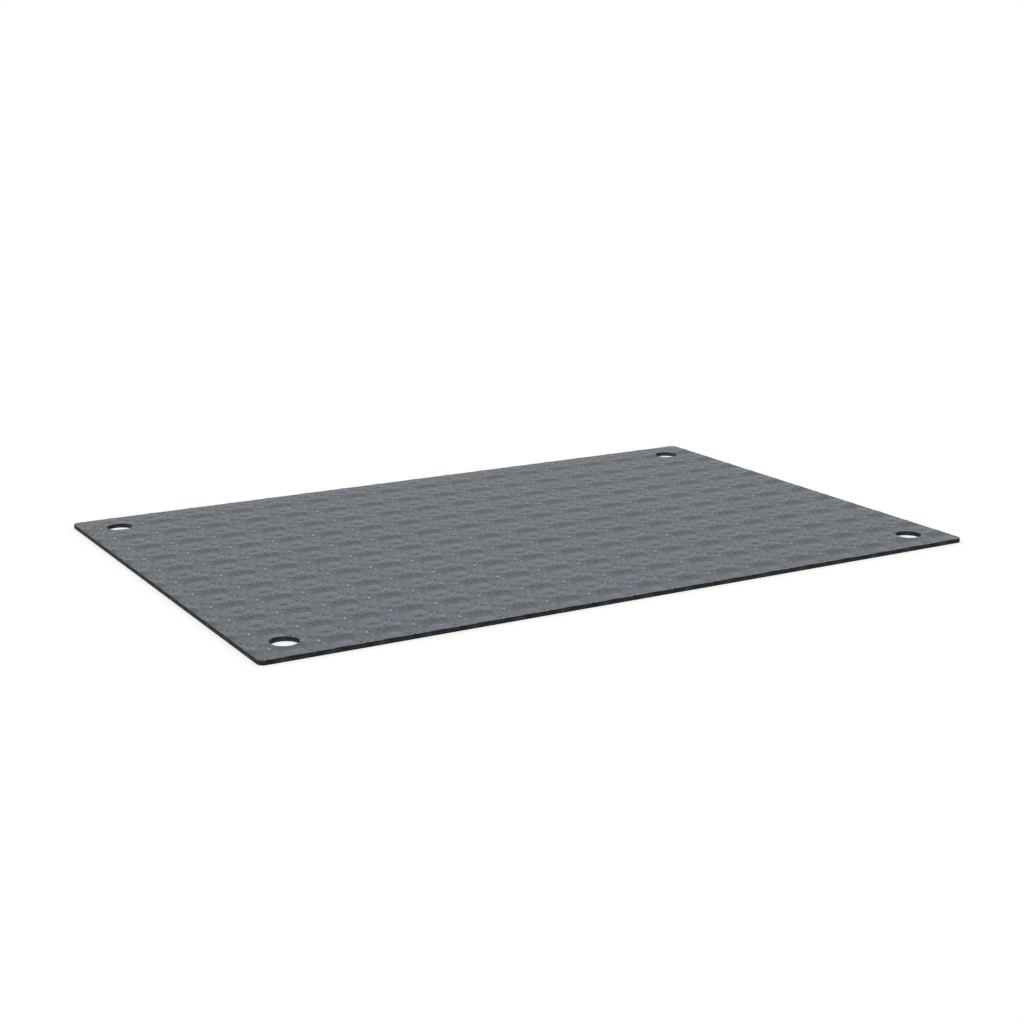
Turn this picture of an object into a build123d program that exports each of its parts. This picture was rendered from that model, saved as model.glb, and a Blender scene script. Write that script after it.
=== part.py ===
# Checker steel plate: one rolled plate with rounded corners and a round hole near each corner.
# Millimetres. The origin is the centre of the underside, +X runs along the long edges,
# +Y along the short ones, and +Z points out of the tread side.

import os

from build123d import *

# Plate stock. The thickness is that of the flat steel, which the tread stands on.
plate_length = 900.0
plate_width = 600.0
plate_thickness = 5.0

# Outline corners, and the sharp rims broken after cutting
corner_radius = 7.5
edge_break = 0.2

# Corner holes, centred the same distance in from both edges
hole_diameter = 30.0
hole_edge_distance = 45.0

hole_spacing_x = plate_length - 2 * hole_edge_distance
hole_spacing_y = plate_width - 2 * hole_edge_distance

with BuildPart() as checker_plate:
    # Flat blank with its rounded outline
    with BuildSketch():
        RectangleRounded(plate_length, plate_width, corner_radius)
    extrude(amount=plate_thickness)

    # Through holes, drilled from the tread side
    top_face = checker_plate.faces().sort_by(Axis.Z)[-1]
    with Locations(Plane(top_face.center())):
        with GridLocations(hole_spacing_x, hole_spacing_y, 2, 2):
            Hole(radius=hole_diameter / 2)

    # Burrs taken off the outline and the hole rims, on both faces
    rims = checker_plate.edges().filter_by(Plane.XY).group_by(Axis.Z)
    chamfer(rims[0] + rims[-1], length=edge_break)

checker_plate.part.label = "checker_plate"

os.makedirs("parts", exist_ok=True)
export_step(checker_plate.part, "parts/checker_plate.step")
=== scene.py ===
# Checker steel plate on a pale floor. Everything is in metres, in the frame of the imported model:
# +X along the long edges, +Y along the short ones, +Z out of the tread side.

import math

import bmesh
import bpy
from mathutils import Color, Matrix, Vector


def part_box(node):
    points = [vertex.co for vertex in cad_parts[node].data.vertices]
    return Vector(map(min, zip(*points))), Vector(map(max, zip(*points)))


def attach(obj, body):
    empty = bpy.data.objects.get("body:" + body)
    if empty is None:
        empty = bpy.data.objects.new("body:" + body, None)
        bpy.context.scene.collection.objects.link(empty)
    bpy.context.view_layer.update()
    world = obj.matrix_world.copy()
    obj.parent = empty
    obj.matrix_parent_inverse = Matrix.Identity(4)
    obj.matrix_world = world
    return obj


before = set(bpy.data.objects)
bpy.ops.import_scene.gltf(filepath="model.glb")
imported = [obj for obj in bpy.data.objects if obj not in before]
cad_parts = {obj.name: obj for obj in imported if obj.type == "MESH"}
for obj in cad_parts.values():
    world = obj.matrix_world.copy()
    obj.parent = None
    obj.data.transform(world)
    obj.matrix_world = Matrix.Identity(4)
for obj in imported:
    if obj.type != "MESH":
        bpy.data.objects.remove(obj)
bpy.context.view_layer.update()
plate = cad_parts["checker_plate"]
plateLow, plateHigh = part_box("checker_plate")
scene = bpy.context.scene
scene.view_settings.view_transform = "Standard"
print("frame loaded")


# Small helpers for node trees

def addNode(tree, kind, inputs=None, **settings):
    made = tree.nodes.new("ShaderNode" + kind)
    for name, value in settings.items():
        setattr(made, name, value)
    for name, value in (inputs or {}).items():
        if isinstance(value, bpy.types.NodeSocket):
            tree.links.new(value, made.inputs[name])
        else:
            made.inputs[name].default_value = value
    return made


def calc(tree, operation, *values):
    return addNode(tree, "Math", dict(enumerate(values)), operation=operation).outputs[0]


def calcVector(tree, operation, *values):
    made = addNode(tree, "VectorMath", dict(enumerate(values)), operation=operation)
    return made.outputs["Value" if operation == "LENGTH" else "Vector"]


def limit(tree, value, low, high):
    return calc(tree, "MINIMUM", calc(tree, "MAXIMUM", value, low), high)


def fade(tree, value, start, end, low=0.0, high=1.0):
    inputs = {"Value": value, "From Min": start, "From Max": end, "To Min": low, "To Max": high}
    return addNode(tree, "MapRange", inputs, interpolation_type="SMOOTHSTEP").outputs["Result"]


def mixTone(tree, share, under, over):
    inputs = {0: share, 6: under, 7: over}
    return addNode(tree, "Mix", inputs, data_type="RGBA").outputs[2]


def tone(red, green, blue):     # a screen tone, from 0 to 255, as the linear colour that a shader takes
    return (*Color((red / 255, green / 255, blue / 255)).from_srgb_to_scene_linear(), 1.0)


# Camera: long lens, low, over the plate's near left corner

cameraSet = {
    "place": (-1.06248, -1.84190, 0.57225),
    "tilt": 75.650,     # degrees up from straight down
    "turn": -30.018,    # degrees about the upright axis
    "lens": 63.788,
    "sensor": 36.0,
}


def addCamera():
    data = bpy.data.cameras.new("viewCamera")
    data.lens = cameraSet["lens"]
    data.sensor_width = cameraSet["sensor"]
    camera = bpy.data.objects.new("viewCamera", data)
    camera.location = cameraSet["place"]
    camera.rotation_euler = (math.radians(cameraSet["tilt"]), 0, math.radians(cameraSet["turn"]))
    scene.collection.objects.link(camera)
    scene.camera = camera


addCamera()
print("camera placed")


# Studio: a white dome, one wide soft lamp over the camera's left shoulder, and a pale floor

studio = {
    "domeLevel": 0.80,
    "lampLevel": 0.20,      # the lamp's share of the light on a level surface
    "lampSpread": 50.0,     # degrees across
    "lampHeight": 50.0,     # degrees above the horizon
    "lampTurn": -60.0,      # degrees round from the -Y side, towards -X
    "floorRadius": 9.0,
    "floorPoints": 96,
    "floorTone": 0.60,      # the part of the floor's white that takes shade
    "floorGlow": 0.405,     # the rest of it, for camera and mirror rays
}


def seenDirectly(tree):     # 1 for camera, glossy and transmission rays
    path = addNode(tree, "LightPath")
    seen = calc(tree, "MAXIMUM", path.outputs["Is Camera Ray"], path.outputs["Is Glossy Ray"])
    return calc(tree, "MAXIMUM", seen, path.outputs["Is Transmission Ray"])


def addDome():
    world = bpy.data.worlds.new("studioDome")
    scene.world = world
    world.use_nodes = True
    tree = world.node_tree
    level = fade(tree, seenDirectly(tree), 0.0, 1.0, studio["domeLevel"], 1.0)
    tree.links.new(level, tree.nodes["Background"].inputs["Strength"])
    tree.nodes["Background"].inputs["Color"].default_value = (1, 1, 1, 1)


def addLamp():
    height, turn = math.radians(studio["lampHeight"]), math.radians(studio["lampTurn"])
    data = bpy.data.lights.new("softLamp", "SUN")
    data.angle = math.radians(studio["lampSpread"])
    data.energy = studio["lampLevel"] * math.pi / math.sin(height)
    lamp = bpy.data.objects.new("softLamp", data)
    lamp.rotation_euler = (math.pi / 2 - height, 0, turn)
    scene.collection.objects.link(lamp)


def addFloor():
    bm = bmesh.new()
    bmesh.ops.create_circle(bm, cap_ends=True, segments=studio["floorPoints"], radius=studio["floorRadius"])
    bmesh.ops.translate(bm, verts=bm.verts, vec=(0, 0, plateLow.z))
    mesh = bpy.data.meshes.new("paleFloor")
    bm.to_mesh(mesh)
    bm.free()
    floor = bpy.data.objects.new("paleFloor", mesh)
    scene.collection.objects.link(floor)

    material = bpy.data.materials.new("paleFloorPaint")
    material.use_nodes = True
    tree = material.node_tree
    tree.nodes.clear()
    white = (studio["floorTone"],) * 3 + (1.0,)
    shaded = addNode(tree, "BsdfDiffuse", {"Color": white}).outputs[0]
    glow = calc(tree, "MULTIPLY", seenDirectly(tree), studio["floorGlow"])
    lit = addNode(tree, "Emission", {"Color": (1, 1, 1, 1), "Strength": glow}).outputs[0]
    both = addNode(tree, "AddShader", {0: shaded, 1: lit}).outputs[0]
    addNode(tree, "OutputMaterial", {"Surface": both})
    mesh.materials.append(material)


addDome()
addLamp()
addFloor()
print("studio lit")


# Tread: low worn lugs that lean left and right by turns, rolled up out of the plate

tread = {
    "pitch": 0.05266,       # between lugs that lean the same way, along and across
    "places": {45.0: (0.19, 0.48), -45.0: (0.69, 0.98)},    # lean in degrees: place in a cell
    "length": 0.038,        # this and the width are taken at the root, down in the plate
    "width": 0.0135,
    "points": 16,
    "tip": 0.0015,          # how far each end is drawn out
    "foot": (0.94, 0.00014),    # first flank: share of the outline left, and height over the plate
    "steps": ((0.0009, 0.00022), (0.0016, 0.00014)),    # further flanks: in, up
    "sunk": 0.0003,         # how far a lug reaches down into the plate
    "rim": 0.0006,          # kept clear along the outline and round the holes
    "cornerRadius": 0.0075,     # this and the next two follow the plate's own outline and holes
    "holeRadius": 0.015,
    "holeInset": 0.045,
    "cornerPoints": 12,
    "holePoints": 64,
    "sharp": 50.0,          # degrees between faces from which an edge stays sharp
}


def makeLug():
    bm = bmesh.new()
    ring = bmesh.ops.create_circle(bm, cap_ends=True, segments=tread["points"], radius=0.5)["verts"]
    bmesh.ops.scale(bm, verts=ring, vec=(tread["length"] - 2 * tread["tip"], tread["width"], 1))
    for side in (-1, 1):
        end = max(ring, key=lambda vert: side * vert.co.x)
        bmesh.ops.translate(bm, verts=[end], vec=(side * tread["tip"], 0, 0))
    raised = bmesh.ops.extrude_face_region(bm, geom=bm.faces[:])["geom"]
    upper = [item for item in raised if isinstance(item, bmesh.types.BMVert)]
    crown = [item for item in raised if isinstance(item, bmesh.types.BMFace)]
    shrink, height = tread["foot"]
    # The same both ways, so that the flanks stay flat and are cut cleanly
    bmesh.ops.scale(bm, verts=upper, vec=(shrink, shrink, 1))
    bmesh.ops.translate(bm, verts=upper, vec=(0, 0, tread["sunk"] + height))
    bm.normal_update()
    for inward, upward in tread["steps"]:
        bmesh.ops.inset_region(bm, faces=crown, thickness=inward, depth=upward, use_even_offset=True)
    bmesh.ops.translate(bm, verts=bm.verts, vec=(0, 0, plateHigh.z - tread["sunk"]))
    return finishMesh(bm, "lug")


def finishMesh(bm, name):
    bmesh.ops.recalc_face_normals(bm, faces=bm.faces)
    mesh = bpy.data.meshes.new(name)
    bm.to_mesh(mesh)
    bm.free()
    return mesh


def rollLugs():
    lug = makeLug()
    reach = tread["length"]
    across = math.ceil((plateHigh.x + reach) / tread["pitch"])
    along = math.ceil((plateHigh.y + reach) / tread["pitch"])
    bm = bmesh.new()
    for lean, (u, v) in tread["places"].items():
        for i in range(-across, across):
            for j in range(-along, along):
                x, y = (i + u) * tread["pitch"], (j + v) * tread["pitch"]
                if abs(x) > plateHigh.x + reach / 2 or abs(y) > plateHigh.y + reach / 2:
                    continue
                start = len(bm.verts)
                bm.from_mesh(lug)
                bm.verts.ensure_lookup_table()
                fresh = bm.verts[start:]
                turn = Matrix.Rotation(math.radians(lean), 3, "Z")
                bmesh.ops.rotate(bm, verts=fresh, cent=(0, 0, 0), matrix=turn)
                bmesh.ops.translate(bm, verts=fresh, vec=(x, y, 0))
    return finishMesh(bm, "treadLugs")


def makeKeeper():       # the plate's outline, less the rim, as a block around the top face
    rim = tread["rim"]
    bm = bmesh.new()
    bmesh.ops.create_cube(bm, size=2)
    size = (plateHigh.x - rim, plateHigh.y - rim, plateHigh.z)
    bmesh.ops.scale(bm, verts=bm.verts, vec=size)
    bmesh.ops.translate(bm, verts=bm.verts, vec=(0, 0, plateHigh.z))
    upright = [edge for edge in bm.edges if abs(edge.verts[0].co.z - edge.verts[1].co.z) > plateHigh.z]
    bmesh.ops.bevel(bm, geom=upright, offset=tread["cornerRadius"] - rim, affect="EDGES",
                    segments=tread["cornerPoints"], profile=0.5, material=-1)
    return finishMesh(bm, "outlineBlock")


def makeDrills():
    bm = bmesh.new()
    radius = tread["holeRadius"] + tread["rim"]
    for sideX in (-1, 1):
        for sideY in (-1, 1):
            made = bmesh.ops.create_cone(bm, cap_ends=True, segments=tread["holePoints"],
                                         radius1=radius, radius2=radius, depth=2 * plateHigh.z)
            x = sideX * (plateHigh.x - tread["holeInset"])
            y = sideY * (plateHigh.y - tread["holeInset"])
            bmesh.ops.translate(bm, verts=made["verts"], vec=(x, y, plateHigh.z))
    return finishMesh(bm, "holeDrills")


def addLugs():
    lugs = bpy.data.objects.new("treadLugs", rollLugs())
    scene.collection.objects.link(lugs)
    cutters = []
    for operation, mesh in (("INTERSECT", makeKeeper()), ("DIFFERENCE", makeDrills())):
        cutter = bpy.data.objects.new(mesh.name, mesh)
        scene.collection.objects.link(cutter)
        cutters.append(cutter)
        trim = lugs.modifiers.new(mesh.name, "BOOLEAN")
        trim.operation = operation
        trim.solver = "EXACT"
        trim.object = cutter
    trimmed = bpy.data.meshes.new_from_object(lugs.evaluated_get(bpy.context.evaluated_depsgraph_get()))
    lugs.modifiers.clear()
    for cutter in cutters:
        bpy.data.objects.remove(cutter)
    lugs.data = trimmed
    trimmed.shade_smooth()
    trimmed.set_sharp_from_angle(angle=math.radians(tread["sharp"]))
    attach(lugs, "root")
    return lugs


lugs = addLugs()
print("tread rolled,", len(lugs.data.polygons), "faces")


# Mill skin: matt blue-grey, with stains that come round once in each cell of the tread

millSkin = {
    "tones": ((113, 119, 123), (127, 131, 139)),
    "noiseSpan": (0.3, 0.7),        # the part of each noise's range that counts
    "mottle": (2.2, 3.0, 1.0),      # noise: radius of one turn round a cell, detail, start
    "bend": (1.3, 2.0, 0.0),
    "bendBy": 0.035,        # of a cell
    "grit": (5.0, 2.0, 7.0),
    "gritBy": 0.17,
    "cast": (3.2, 3.0, 4.0),
    "castBy": 0.04,         # warmer and cooler
    # Stains slide this far to -X and -Y for each metre up a lug, so that in the camera's low view they
    # run on from the flat unbroken
    "drift": (1.96, 3.39),
    "stainEdge": (0.45, 1.35),      # a stain is whole inside the first, and gone past the second
    "stainRag": 0.5,        # how far the mottle breaks up that edge
    "stains": {     # place in a cell, half sizes, lean in degrees, screen tone, strength
        "greenBelt": ((0.30, 0.84), (0.47, 0.20), 0, (107, 112, 111), 0.9),
        "greenField": ((0.34, 0.82), (0.26, 0.15), -6, (105, 109, 105), 0.6),
        "blueField": ((0.72, 0.84), (0.17, 0.14), 0, (116, 123, 129), 0.8),
        "lilacField": ((0.32, 0.50), (0.19, 0.115), -10, (131, 134, 143), 0.8),
        "taupeField": ((0.89, 0.25), (0.13, 0.17), 0, (121, 120, 118), 0.85),
        "darkBand": ((0.36, 0.91), (0.075, 0.035), 15, (76, 80, 77), 0.9),
        "darkBandRight": ((0.515, 0.83), (0.075, 0.032), -12, (84, 88, 84), 0.9),
        "darkBandLeft": ((0.155, 0.945), (0.03, 0.055), -25, (80, 84, 70), 0.85),
        "darkBandTop": ((0.55, 0.97), (0.05, 0.025), -20, (94, 98, 92), 0.8),
        "darkCorner": ((0.08, 0.005), (0.05, 0.05), 0, (90, 102, 100), 0.8),
        "darkLeft": ((0.03, 0.66), (0.025, 0.05), -20, (94, 100, 102), 0.8),
        "paleMist": ((0.045, 0.91), (0.04, 0.035), 0, (126, 133, 138), 0.8),
        "paleGreen": ((0.43, 0.77), (0.045, 0.035), 20, (123, 127, 127), 0.75),
        "blueWash": ((0.585, 0.90), (0.03, 0.045), -20, (118, 130, 142), 0.8),
        "blueWisp": ((0.65, 0.895), (0.028, 0.055), -20, (130, 141, 150), 0.85),
        "lilacWisp": ((0.765, 0.785), (0.028, 0.06), -20, (128, 135, 144), 0.8),
        "darkPeg": ((0.815, 0.78), (0.020, 0.045), -15, (82, 86, 88), 0.85),
        "oliveLine": ((0.468, 0.63), (0.024, 0.05), -10, (104, 107, 100), 0.75),
        "lilacLeft": ((0.16, 0.59), (0.10, 0.035), 10, (126, 133, 145), 0.8),
        "lilacHead": ((0.40, 0.565), (0.042, 0.05), -20, (143, 146, 158), 0.85),
        "paleHeart": ((0.26, 0.47), (0.05, 0.06), -20, (136, 140, 144), 0.7),
        "darkHeart": ((0.38, 0.46), (0.035, 0.035), 0, (120, 123, 130), 0.7),
        "lilacLower": ((0.35, 0.36), (0.035, 0.045), -20, (138, 140, 152), 0.75),
        "darkTick": ((0.65, 0.585), (0.038, 0.05), -20, (108, 112, 118), 0.7),
        "darkStroke": ((0.495, 0.52), (0.03, 0.09), 18, (103, 106, 105), 0.75),
        "umberKnot": ((0.55, 0.425), (0.045, 0.038), 20, (88, 82, 70), 0.9),
        "umberBlot": ((0.625, 0.315), (0.04, 0.028), 45, (82, 70, 54), 0.95),
        "umberTail": ((0.69, 0.275), (0.04, 0.028), -20, (98, 92, 80), 0.85),
        "lilacStreak": ((0.465, 0.275), (0.025, 0.065), -35, (139, 143, 155), 0.8),
        "paleFlake": ((0.578, 0.33), (0.017, 0.045), -20, (172, 172, 184), 0.85),
        "ochreTick": ((0.745, 0.235), (0.013, 0.032), -15, (160, 146, 118), 0.8),
        "darkOval": ((0.205, 0.295), (0.10, 0.055), -12, (94, 95, 93), 0.85),
        "tealEdge": ((0.03, 0.14), (0.035, 0.065), 0, (116, 137, 144), 0.9),
        "lilacFoot": ((0.14, 0.15), (0.065, 0.065), -20, (131, 129, 144), 0.85),
        "blueStreak": ((0.20, 0.10), (0.022, 0.08), -25, (130, 134, 149), 0.75),
        "lilacPool": ((0.37, 0.24), (0.035, 0.04), 0, (130, 132, 149), 0.75),
        "ochreFleck": ((0.322, 0.138), (0.018, 0.038), -18, (188, 161, 92), 0.9),
        "ochreSpot": ((0.335, 0.575), (0.016, 0.035), -20, (170, 157, 128), 0.85),
        "ochreLine": ((0.37, 0.97), (0.035, 0.016), 45, (134, 124, 96), 0.8),
        "blueFoot": ((0.265, 0.10), (0.03, 0.08), -15, (111, 109, 121), 0.75),
        "umberFoot": ((0.365, 0.075), (0.04, 0.045), -20, (99, 90, 84), 0.85),
        "paleArch": ((0.435, 0.21), (0.035, 0.06), -20, (140, 141, 145), 0.8),
        "lilacArch": ((0.54, 0.18), (0.045, 0.045), -20, (143, 146, 155), 0.7),
        "lilacBase": ((0.57, 0.07), (0.12, 0.05), 0, (145, 143, 149), 0.8),
        "lilacSpot": ((0.64, 0.19), (0.045, 0.045), 0, (131, 132, 144), 0.7),
        "whiteFlake": ((0.64, 0.055), (0.024, 0.026), -30, (188, 187, 203), 0.85),
        "taupeLine": ((0.93, 0.31), (0.09, 0.03), 35, (142, 140, 136), 0.7),
        "taupePale": ((0.99, 0.27), (0.06, 0.06), -20, (138, 139, 137), 0.7),
        "taupeShade": ((0.825, 0.145), (0.06, 0.04), 50, (98, 99, 95), 0.8),
        "taupeFoot": ((0.77, 0.07), (0.07, 0.04), 0, (113, 108, 106), 0.7),
        "oliveFoot": ((0.905, 0.065), (0.035, 0.035), 0, (92, 91, 84), 0.8),
        "redShade": ((0.985, 0.08), (0.02, 0.06), -10, (92, 88, 76), 0.85),
        "lilacBar": ((0.745, 0.38), (0.045, 0.065), -15, (130, 132, 146), 0.8),
        "oliveRight": ((0.955, 0.635), (0.03, 0.05), -20, (106, 110, 104), 0.7),
        "paleSpot": ((0.53, 0.58), (0.025, 0.035), -20, (128, 130, 133), 0.6),
        "paleRight": ((0.90, 0.53), (0.07, 0.04), 0, (127, 130, 131), 0.6),
        "whiteChip": ((0.890, 0.880), (0.027, 0.050), -15, (190, 195, 196), 0.9),
        "paleChip": ((0.908, 0.68), (0.018, 0.042), -15, (156, 162, 164), 0.8),
    },
}


def repeatNoise(tree, cell, radius, detail, start):
    # Each turn of the two angles is one cell, so the noise repeats with the tread
    angles = calcVector(tree, "MULTIPLY_ADD", cell, (math.tau,) * 3, (start,) * 3)
    sines, cosines = calcVector(tree, "SINE", angles), calcVector(tree, "COSINE", angles)
    sine = addNode(tree, "SeparateXYZ", {0: sines}).outputs
    cosine = addNode(tree, "SeparateXYZ", {0: cosines}).outputs
    place = addNode(tree, "CombineXYZ", {0: cosine["X"], 1: sine["X"], 2: cosine["Y"]}).outputs[0]
    inputs = {"Vector": place, "W": sine["Y"], "Scale": radius, "Detail": detail}
    return addNode(tree, "TexNoise", inputs, noise_dimensions="4D").outputs


def placeInCells(tree, place, height):
    rise = calc(tree, "MAXIMUM", calc(tree, "SUBTRACT", height, plateHigh.z), 0.0)
    driftX, driftY = (calc(tree, "MULTIPLY", rise, share) for share in millSkin["drift"])
    drift = addNode(tree, "CombineXYZ", {0: driftX, 1: driftY}).outputs[0]
    level = calcVector(tree, "ADD", place, drift)
    return calcVector(tree, "MULTIPLY", level, (1 / tread["pitch"], 1 / tread["pitch"], 0.0))


def addStain(tree, cell, rag, under, middle, halves, lean, screenTone, strength):
    away = calcVector(tree, "SUBTRACT", cell, (*middle, 0.0))
    nearest = calcVector(tree, "WRAP", away, (0.5,) * 3, (-0.5,) * 3)
    turned = {"Vector": nearest, "Rotation": (0, 0, math.radians(lean)), "Scale": (*halves, 1.0)}
    local = addNode(tree, "Mapping", turned, vector_type="TEXTURE").outputs[0]
    distance = calc(tree, "ADD", calcVector(tree, "LENGTH", local), rag)
    share = fade(tree, distance, *millSkin["stainEdge"], strength, 0.0)
    return mixTone(tree, share, under, tone(*screenTone))


def makeSkin(tree, flat):
    bend = calcVector(tree, "SUBTRACT", repeatNoise(tree, flat, *millSkin["bend"])["Color"], (0.5,) * 3)
    shift = calcVector(tree, "MULTIPLY", bend, (2 * millSkin["bendBy"], 2 * millSkin["bendBy"], 0.0))
    cell = calcVector(tree, "ADD", flat, shift)

    mottle = repeatNoise(tree, flat, *millSkin["mottle"])["Fac"]
    dull, bright = millSkin["tones"]
    colour = mixTone(tree, fade(tree, mottle, *millSkin["noiseSpan"]), tone(*dull), tone(*bright))
    rag = calc(tree, "MULTIPLY", calc(tree, "SUBTRACT", 0.5, mottle), 2 * millSkin["stainRag"])
    for stain in millSkin["stains"].values():
        colour = addStain(tree, cell, rag, colour, *stain)

    grit = repeatNoise(tree, flat, *millSkin["grit"])["Fac"]
    play = millSkin["gritBy"]
    gain = fade(tree, grit, *millSkin["noiseSpan"], 1 - play, 1 + play)
    colour = calcVector(tree, "MULTIPLY", colour, gain)

    hue = repeatNoise(tree, flat, *millSkin["cast"])["Fac"]
    play = millSkin["castBy"]
    warm, cool = (1 + play, 1, 1 - play, 1), (1 - play, 1, 1 + play, 1)
    cast = mixTone(tree, fade(tree, hue, *millSkin["noiseSpan"]), warm, cool)
    return calcVector(tree, "MULTIPLY", colour, cast)


print("mill skin ready,", len(millSkin["stains"]), "stains")


# Cut faces, along the outline and on the hole walls: faint streaks on a dark tone that is partly the
# scale's own colour and partly painted shade on the upright faces

cutFace = {
    # dark and pale: partly dark scale, partly painted shade that stands in for the dim light on upright
    # faces
    "tones": ((16, 17, 17), (63, 64, 64)),
    "casts": ((46, 40, 34), (34, 40, 48)),
    "castShare": 0.18,
    "castNoise": (0.7, 1.0),        # scale, detail
    "castSpan": (0.4, 0.6),
    "streakNoise": (1.0, 3.0),
    "streakSpan": (0.35, 0.65),
    "streakShare": (0.15, 0.60),
    "turn": (1.0, 330.0),   # noise radius of one cell along the edge, and turns a metre up it
    "marks": {      # place and half width in a cell, how much lighter or darker
        "fleck": (0.91, 0.04, 0.50),
        "paleStart": (0.02, 0.05, 0.18),
        "darkStart": (0.20, 0.07, -0.30),
        "paleMiddle": (0.40, 0.05, 0.20),
        "darkMiddle": (0.66, 0.07, -0.22),
    },
    "markEdge": (0.3, 1.7),         # in half widths: a mark is whole inside the first, gone past the second
    "band": (0.0008, 0.0022),       # from mid thickness: streaks whole, streaks gone
    "boreInset": 0.01,      # cut faces further in than this are hole walls
    # painted light: the hole walls are drawn lighter and cooler than the outer cut faces
    "boreLightGain": (1.3, 1.5, 1.5),    # how much lighter and cooler those are
}


def plainNoise(tree, place, scale, detail):
    return addNode(tree, "TexNoise", {"Vector": place, "Scale": scale, "Detail": detail}).outputs["Fac"]


def markStreaks(tree, cell, share):
    whole, gone = cutFace["markEdge"]
    for middle, half, change in cutFace["marks"].values():
        away = calc(tree, "WRAP", calc(tree, "SUBTRACT", cell, middle), 0.5, -0.5)
        mark = fade(tree, calc(tree, "ABSOLUTE", away), whole * half, gone * half, change, 0.0)
        share = calc(tree, "ADD", share, mark)
    return calc(tree, "MAXIMUM", share, 0.0)


# Painted light on the hole walls: lighter and cooler than the same cut faces along the outline
def paintLightOnBores(tree, at, colour):
    insetX = calc(tree, "SUBTRACT", plateHigh.x, calc(tree, "ABSOLUTE", at["X"]))
    insetY = calc(tree, "SUBTRACT", plateHigh.y, calc(tree, "ABSOLUTE", at["Y"]))
    bored = calc(tree, "GREATER_THAN", calc(tree, "MINIMUM", insetX, insetY), cutFace["boreInset"])
    gain = mixTone(tree, bored, (1, 1, 1, 1), (*cutFace["boreLightGain"], 1))
    return calcVector(tree, "MULTIPLY", colour, gain)


def makeCut(tree, place, normal):
    # The streaks come round with the tread along each edge, and change over the thickness
    at = addNode(tree, "SeparateXYZ", {0: place}).outputs
    aim = addNode(tree, "SeparateXYZ", {0: calcVector(tree, "ABSOLUTE", normal)}).outputs
    lengthwise = calc(tree, "GREATER_THAN", aim["Y"], aim["X"])
    along = addNode(tree, "Mix", {0: lengthwise, 2: at["Y"], 3: at["X"]}).outputs[0]
    cell = calc(tree, "DIVIDE", along, tread["pitch"])
    angle = calc(tree, "MULTIPLY", cell, math.tau)
    radius, rise = cutFace["turn"]
    ring = {
        0: calc(tree, "MULTIPLY", calc(tree, "COSINE", angle), radius),
        1: calc(tree, "MULTIPLY", calc(tree, "SINE", angle), radius),
        2: calc(tree, "MULTIPLY", at["Z"], rise),
    }
    spot = addNode(tree, "CombineXYZ", ring).outputs[0]
    streak = plainNoise(tree, spot, *cutFace["streakNoise"])
    hue = plainNoise(tree, spot, *cutFace["castNoise"])

    share = fade(tree, streak, *cutFace["streakSpan"], *cutFace["streakShare"])
    share = markStreaks(tree, cell, share)
    fromMiddle = calc(tree, "ABSOLUTE", calc(tree, "SUBTRACT", at["Z"], plateHigh.z / 2))
    band = fade(tree, fromMiddle, *cutFace["band"], 1.0, 0.0)
    dark, pale = cutFace["tones"]
    colour = mixTone(tree, calc(tree, "MULTIPLY", band, share), tone(*dark), tone(*pale))
    warm, cool = cutFace["casts"]
    cast = mixTone(tree, fade(tree, hue, *cutFace["castSpan"]), tone(*warm), tone(*cool))
    colour = mixTone(tree, calc(tree, "MULTIPLY", band, cutFace["castShare"]), colour, cast)
    return paintLightOnBores(tree, at, colour)


print("cut faces ready")


# Rolled steel: the mill skin on top, scuffed on the crowns, the cut faces, and a plain underside

steel = {
    "specular": 0.2,
    "roughness": 0.60,
    "roughnessRange": (0.38, 0.94),
    "cutRoughness": 0.8,
    "sheen": 0.073,         # light mirrored at the camera's low angle, which is taken off the colour
    "meanLight": 0.18,      # of the skin
    "glossShare": 0.45,     # how much of a stain's brightness is gloss, and not colour
    "glossLimits": (-0.024, 0.036),
    "glossToRoughness": 7.0,
    "darkest": 0.01,
    "crownTone": (138, 142, 147),
    "crownWear": 0.10,
    "crownRoughness": 0.30,         # added where the crowns are scuffed
    "crownDulling": 0.034,          # how much less of the sheen is taken off there
    "crownHeights": (0.00012, 0.00034),     # over the flat of the plate
    "grain": (900.0, 2.0),          # noise: turns a metre, detail
    "grainSpan": (0.2, 0.8),
    "grainTone": (150, 153, 158),
    "grainShare": 0.16,
    "grainRoughness": 0.06,
    "grainDepth": 0.00012,
    "grainStrength": 0.5,
    "cloud": (9.0, 2.0),
    "cloudSpan": (0.3, 0.7),
    "cloudTone": (90, 94, 98),
    "cloudShare": 0.06,
    "underTones": ((88, 91, 95), (98, 101, 104)),
    "topFacing": (0.80, 0.95),      # how squarely a face looks up: skin starts, skin whole
    "underFacing": (-0.95, -0.80),
}


def weatherSkin(tree, skin, grain, cloud):
    specks = fade(tree, grain, *steel["grainSpan"], 0.0, steel["grainShare"])
    skin = mixTone(tree, specks, skin, tone(*steel["grainTone"]))
    shade = calc(tree, "MULTIPLY", cloud, steel["cloudShare"])
    return mixTone(tree, shade, skin, tone(*steel["cloudTone"]))


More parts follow.
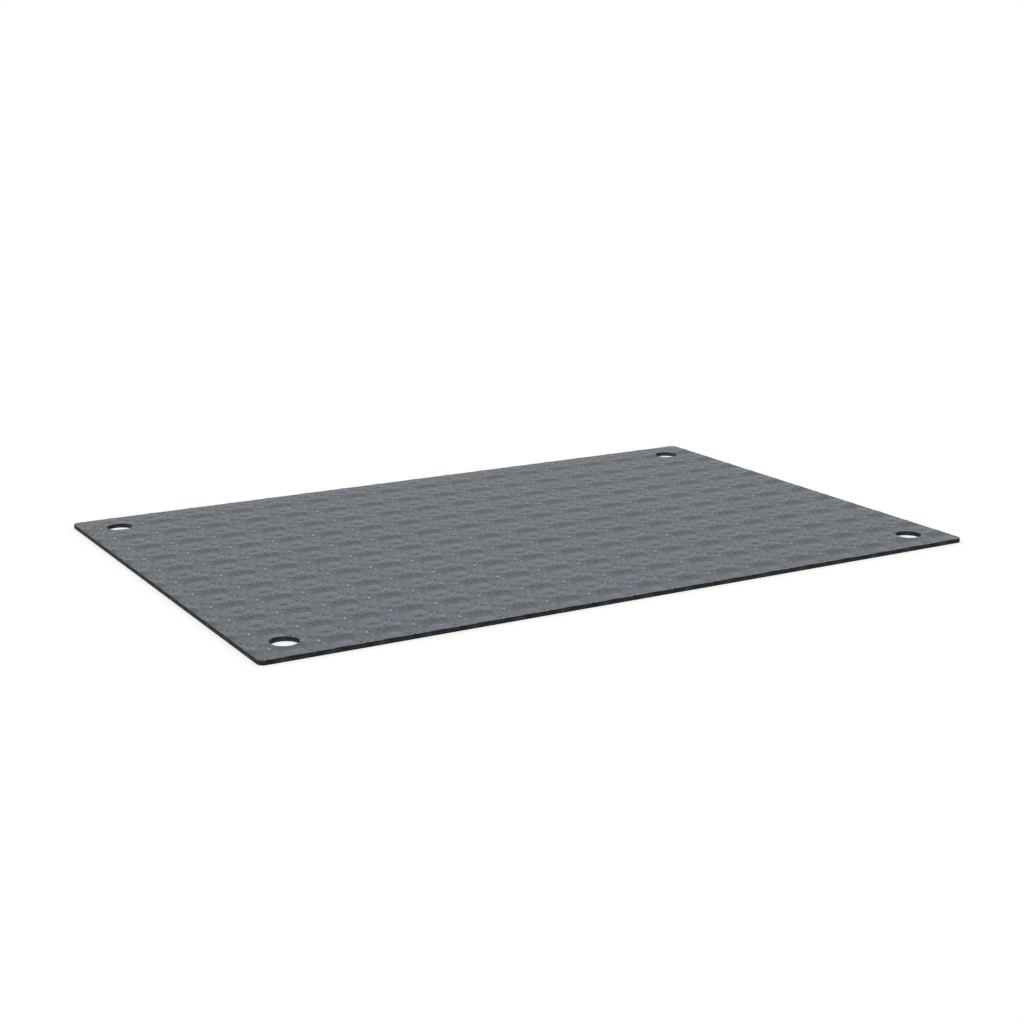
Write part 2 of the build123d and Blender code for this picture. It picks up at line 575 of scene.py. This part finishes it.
def finishSkin(tree, skin, crown):      # gives the skin's colour and roughness
    light = addNode(tree, "RGBToBW", {0: skin}).outputs[0]
    brighter = calc(tree, "SUBTRACT", light, steel["meanLight"])
    gloss = limit(tree, calc(tree, "MULTIPLY", brighter, steel["glossShare"]), *steel["glossLimits"])

    worn = calc(tree, "MULTIPLY", crown, steel["crownWear"])
    skin = mixTone(tree, worn, skin, tone(*steel["crownTone"]))
    dulling = calc(tree, "MULTIPLY", crown, steel["crownDulling"])
    mirrored = calc(tree, "SUBTRACT", calc(tree, "ADD", gloss, steel["sheen"]), dulling)
    spare = addNode(tree, "CombineXYZ", {0: mirrored, 1: mirrored, 2: mirrored}).outputs[0]
    colour = calcVector(tree, "MAXIMUM", calcVector(tree, "SUBTRACT", skin, spare), (steel["darkest"],) * 3)

    polish = calc(tree, "MULTIPLY", gloss, steel["glossToRoughness"])
    scuff = calc(tree, "MULTIPLY", crown, steel["crownRoughness"])
    rough = calc(tree, "ADD", calc(tree, "SUBTRACT", steel["roughness"], polish), scuff)
    return colour, limit(tree, rough, *steel["roughnessRange"])


def makeSteel():
    material = bpy.data.materials.new("rolledSteel")
    material.use_nodes = True
    tree = material.node_tree
    shader = tree.nodes["Principled BSDF"]
    shader.inputs["Metallic"].default_value = 0.0
    shader.inputs["Specular IOR Level"].default_value = steel["specular"]

    place = addNode(tree, "TexCoord").outputs["Object"]
    normal = addNode(tree, "NewGeometry").outputs["Normal"]
    height = addNode(tree, "SeparateXYZ", {0: place}).outputs["Z"]
    facing = addNode(tree, "SeparateXYZ", {0: normal}).outputs["Z"]
    grain = plainNoise(tree, place, *steel["grain"])
    cloud = fade(tree, plainNoise(tree, place, *steel["cloud"]), *steel["cloudSpan"])

    skin = makeSkin(tree, placeInCells(tree, place, height))
    skin = weatherSkin(tree, skin, grain, cloud)
    low, high = (plateHigh.z + rise for rise in steel["crownHeights"])
    skin, skinRough = finishSkin(tree, skin, fade(tree, height, low, high))

    cut = makeCut(tree, place, normal)
    darker, paler = steel["underTones"]
    under = mixTone(tree, cloud, tone(*darker), tone(*paler))
    downward = fade(tree, facing, *steel["underFacing"], 1.0, 0.0)
    onLug = calc(tree, "GREATER_THAN", height, plateHigh.z)
    upward = calc(tree, "MAXIMUM", fade(tree, facing, *steel["topFacing"]), onLug)
    colour = mixTone(tree, upward, mixTone(tree, downward, cut, under), skin)
    tree.links.new(colour, shader.inputs["Base Color"])

    rough = addNode(tree, "Mix", {0: upward, 2: steel["cutRoughness"], 3: skinRough}).outputs[0]
    play = steel["grainRoughness"]
    rough = calc(tree, "ADD", rough, fade(tree, grain, *steel["grainSpan"], -play, play))
    tree.links.new(rough, shader.inputs["Roughness"])
    bump = {"Height": grain, "Distance": steel["grainDepth"], "Strength": steel["grainStrength"]}
    tree.links.new(addNode(tree, "Bump", bump).outputs[0], shader.inputs["Normal"])
    return material


rolledSteel = makeSteel()
plate.material_slots[0].material = rolledSteel
lugs.data.materials.clear()
lugs.data.materials.append(rolledSteel)
print("steel finished")
